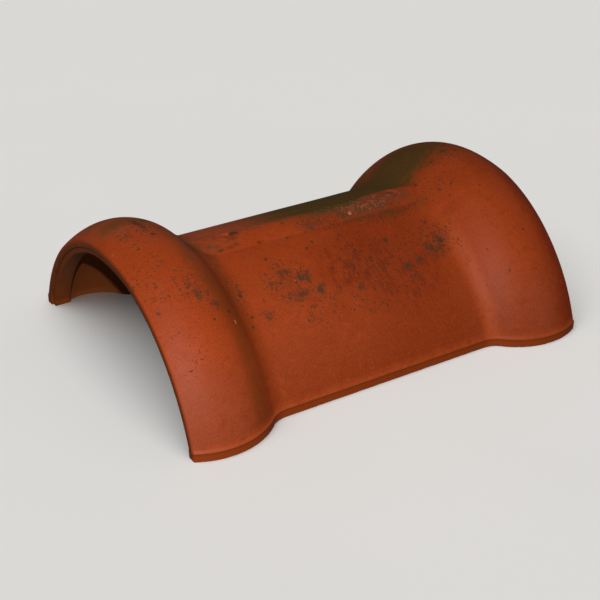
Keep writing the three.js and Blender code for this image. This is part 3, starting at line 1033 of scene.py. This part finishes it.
def floor_material(look):
    """Plain pale floor, very slightly uneven in tone"""
    p = Paint("plain_pale_floor")
    p.start(look.floor_colour)
    p.lay([c * 0.985 for c in look.floor_colour], p.noise(3.0, 2.0).smooth(-0.1, 0.2))
    return p.finish(0.9, p.noise(400.0, 2.0), 0.1 * MM, 0.05)


# ---------------------------------------------------------------- operators
def add_object(name, mesh):
    obj = bpy.data.objects.new(name, mesh)
    bpy.context.scene.collection.objects.link(obj)
    return obj


class RIDGETILE_OT_shell(Operator):
    """Press the tile: one closed clay shell, bent from a flat net by its node tree"""

    bl_idname = "ridgetile.shell"
    bl_label = "Press the Tile"

    def execute(self, context):
        sizes = context.scene.ridge_tile_sizes
        material = clay_material(context.scene.ridge_tile_clay)
        shell = add_object("tile_shell", shell_net(sizes))
        tree, values = shell_tree(sizes, material)
        run_tree(shell, tree, values)
        shell.data.polygons.foreach_set("use_smooth", [True] * len(shell.data.polygons))
        shell.data.set_sharp_from_angle(angle=math.radians(42))
        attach(shell, "root")
        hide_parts("ridge_tile")
        return {"FINISHED"}


# The grains' heap on the rib: its middle and reach along and across the tile, and its lowest point.
HEAP_X, HEAP_LONG = 72 * MM, 52 * MM
HEAP_Y, HEAP_WIDE = -6 * MM, 20 * MM
HEAP_LOW = 96 * MM
GRAINS_PER_M2 = 60000.0


def grains_tree(shell, scatter, material):
    """Scatters small crumbs over the crown of the shell and makes them real."""
    values = {"size": scatter.size, "spacing": scatter.spacing, "seed": scatter.seed}
    tree, _, n = new_tree("Lime grains", values)
    source = add_node(tree, "GeometryNodeObjectInfo", {"Object": shell})
    x, y, z = parts_of(tree, add_node(tree, "GeometryNodeInputPosition").outputs[0])
    heap = (((x - HEAP_X) / HEAP_LONG).square() + ((y - HEAP_Y) / HEAP_WIDE).square()).smooth(1.0, 0.1)
    inputs = {
        "Mesh": source.outputs["Geometry"],
        "Distance Min": n.spacing,
        "Density Max": GRAINS_PER_M2,
        "Density Factor": heap * z.above(HEAP_LOW) * 0.16,
        "Seed": n.seed,
    }
    points = add_node(tree, "GeometryNodeDistributePointsOnFaces", inputs, distribute_method="POISSON")
    crumb = add_node(tree, "GeometryNodeMeshIcoSphere", {"Subdivisions": 1, "Radius": n.size * 0.5})
    turn = add_node(tree, "FunctionNodeRandomValue", data_type="FLOAT_VECTOR")
    turn.inputs[1].default_value = (math.tau,) * 3
    scale = add_node(tree, "FunctionNodeRandomValue", data_type="FLOAT_VECTOR")
    scale.inputs[0].default_value = (0.35, 0.35, 0.25)
    scale.inputs[1].default_value = (1.0, 1.0, 0.7)
    tree.links.new(n.seed.socket, scale.inputs["Seed"])
    inputs = {
        "Points": points.outputs["Points"],
        "Instance": crumb.outputs["Mesh"],
        "Rotation": turn.outputs[0],
        "Scale": scale.outputs[0],
    }
    place = add_node(tree, "GeometryNodeInstanceOnPoints", inputs)
    finish_tree(tree, place.outputs["Instances"], material)
    return tree, values


class RIDGETILE_OT_grains(Operator):
    """Stick lime grains to the crown of the tile"""

    bl_idname = "ridgetile.grains"
    bl_label = "Scatter the Lime Grains"

    def execute(self, context):
        shell = bpy.data.objects["tile_shell"]
        material = grain_material(context.scene.ridge_tile_clay)
        grains = add_object("lime_grains", bpy.data.meshes.new("lime_grains"))
        tree, values = grains_tree(shell, context.scene.ridge_tile_grains, material)
        run_tree(grains, tree, values)
        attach(grains, "root")
        return {"FINISHED"}


class RIDGETILE_OT_stage(Operator):
    """Lay the floor and set the lights and the camera"""

    bl_idname = "ridgetile.stage"
    bl_label = "Set the Stage"

    def execute(self, context):
        scene = context.scene
        look = scene.ridge_tile_stage
        floor = lay_floor(look)
        # the floor throws no light back up on the tile
        floor.visible_diffuse = False
        floor.visible_glossy = False

        # the key and back lights leave out the floor, and the room light is for the floor alone
        off_floor = bpy.data.collections.new("all_but_the_floor")
        off_floor.objects.link(floor)
        off_floor.collection_objects[0].light_linking.link_state = "EXCLUDE"
        only_floor = bpy.data.collections.new("floor_alone")
        only_floor.objects.link(floor)
        key = add_lamp("key", "POINT", look.key, off_floor, shadow_soft_size=look.key_size)
        key.location = KEY_PLACE
        room = add_lamp("room", "SUN", look.room, only_floor, angle=math.radians(70))
        aim_from(room, *ROOM_SUN)
        warm = {"angle": math.radians(40), "color": look.back_colour}
        back = add_lamp("back", "SUN", look.back, off_floor, **warm)
        aim_from(back, *BACK_SUN)
        back.visible_glossy = False

        world = bpy.data.worlds.new("soft room")
        world.use_nodes = True
        background = world.node_tree.nodes["Background"]
        background.inputs["Color"].default_value = (*look.fill_colour, 1.0)
        background.inputs["Strength"].default_value = look.fill
        scene.world = world
        scene.view_settings.view_transform = "Standard"
        scene.camera = set_camera(look)
        return {"FINISHED"}


def lay_floor(look):
    """One wide pale square just under the tile's feet"""
    mesh = bpy.data.meshes.new("pale_floor")
    corners = [(-1, -1), (1, -1), (1, 1), (-1, 1)]
    points = [(x * FLOOR_REACH, y * FLOOR_REACH, -FLOOR_DROP) for x, y in corners]
    mesh.from_pydata(points, [], [(0, 1, 2, 3)])
    mesh.materials.append(floor_material(look))
    return add_object("pale_floor", mesh)


def add_lamp(name, kind, power, receivers, **settings):
    """A lamp that lights what its receivers let it light"""
    lamp = bpy.data.lights.new(name, kind)
    lamp.energy = power
    for label, value in settings.items():
        setattr(lamp, label, value)
    light = add_object(name, lamp)
    light.light_linking.receiver_collection = receivers
    return light


def set_camera(look):
    """The camera, looking down on the near slope and into the left end"""
    lens = bpy.data.cameras.new("view")
    lens.lens = look.lens
    lens.sensor_width = 36.0
    lens.clip_start = 0.01
    camera = add_object("view", lens)
    forward = VIEW_AIM.normalized()
    level = forward.cross(Vector((0, 0, 1))).normalized()
    upright = level.cross(forward)
    right = level * math.cos(VIEW_ROLL) + upright * math.sin(VIEW_ROLL)
    up = upright * math.cos(VIEW_ROLL) - level * math.sin(VIEW_ROLL)
    turned = Matrix((right, up, -forward)).transposed().to_4x4()
    turned.translation = VIEW_PLACE
    camera.matrix_world = turned
    return camera


def aim_from(light, azimuth, elevation):
    """Turns a sun so that its light comes from that side and height, in degrees."""
    a, e = math.radians(azimuth), math.radians(elevation)
    towards = Vector((math.sin(a) * math.cos(e), -math.cos(a) * math.cos(e), math.sin(e)))
    light.rotation_euler = towards.to_track_quat("Z", "Y").to_euler()
    light.location = towards * 3.0


class RIDGETILE_PT_panel(Panel):
    """Lists the tile's pieces in the order they are made"""

    bl_idname = "RIDGETILE_PT_panel"
    bl_label = "Ridge Tile"
    bl_space_type = "VIEW_3D"
    bl_region_type = "UI"
    bl_category = "Ridge Tile"

    def draw(self, context):
        layout = self.layout
        scene = context.scene
        layout.operator(RIDGETILE_OT_stage.bl_idname)
        layout.operator(RIDGETILE_OT_shell.bl_idname)
        layout.operator(RIDGETILE_OT_grains.bl_idname)
        for settings in SETTINGS:
            group = getattr(scene, settings)
            box = layout.box()
            for name in group.__annotations__:
                box.prop(group, name)


CLASSES = (
    RidgeTileSizes,
    ClayFinish,
    GrainScatter,
    StageLook,
    RIDGETILE_OT_stage,
    RIDGETILE_OT_shell,
    RIDGETILE_OT_grains,
    RIDGETILE_PT_panel,
)
SETTINGS = {
    "ridge_tile_sizes": RidgeTileSizes,
    "ridge_tile_clay": ClayFinish,
    "ridge_tile_grains": GrainScatter,
    "ridge_tile_stage": StageLook,
}


def register():
    for cls in CLASSES:
        bpy.utils.register_class(cls)
    for name, group in SETTINGS.items():
        setattr(bpy.types.Scene, name, PointerProperty(type=group))


def unregister():
    for name in SETTINGS:
        delattr(bpy.types.Scene, name)
    for cls in reversed(CLASSES):
        bpy.utils.unregister_class(cls)


def main():
    register()
    bpy.ops.ridgetile.stage()
    bpy.ops.ridgetile.shell()
    bpy.ops.ridgetile.grains()


if __name__ == "__main__":
    main()
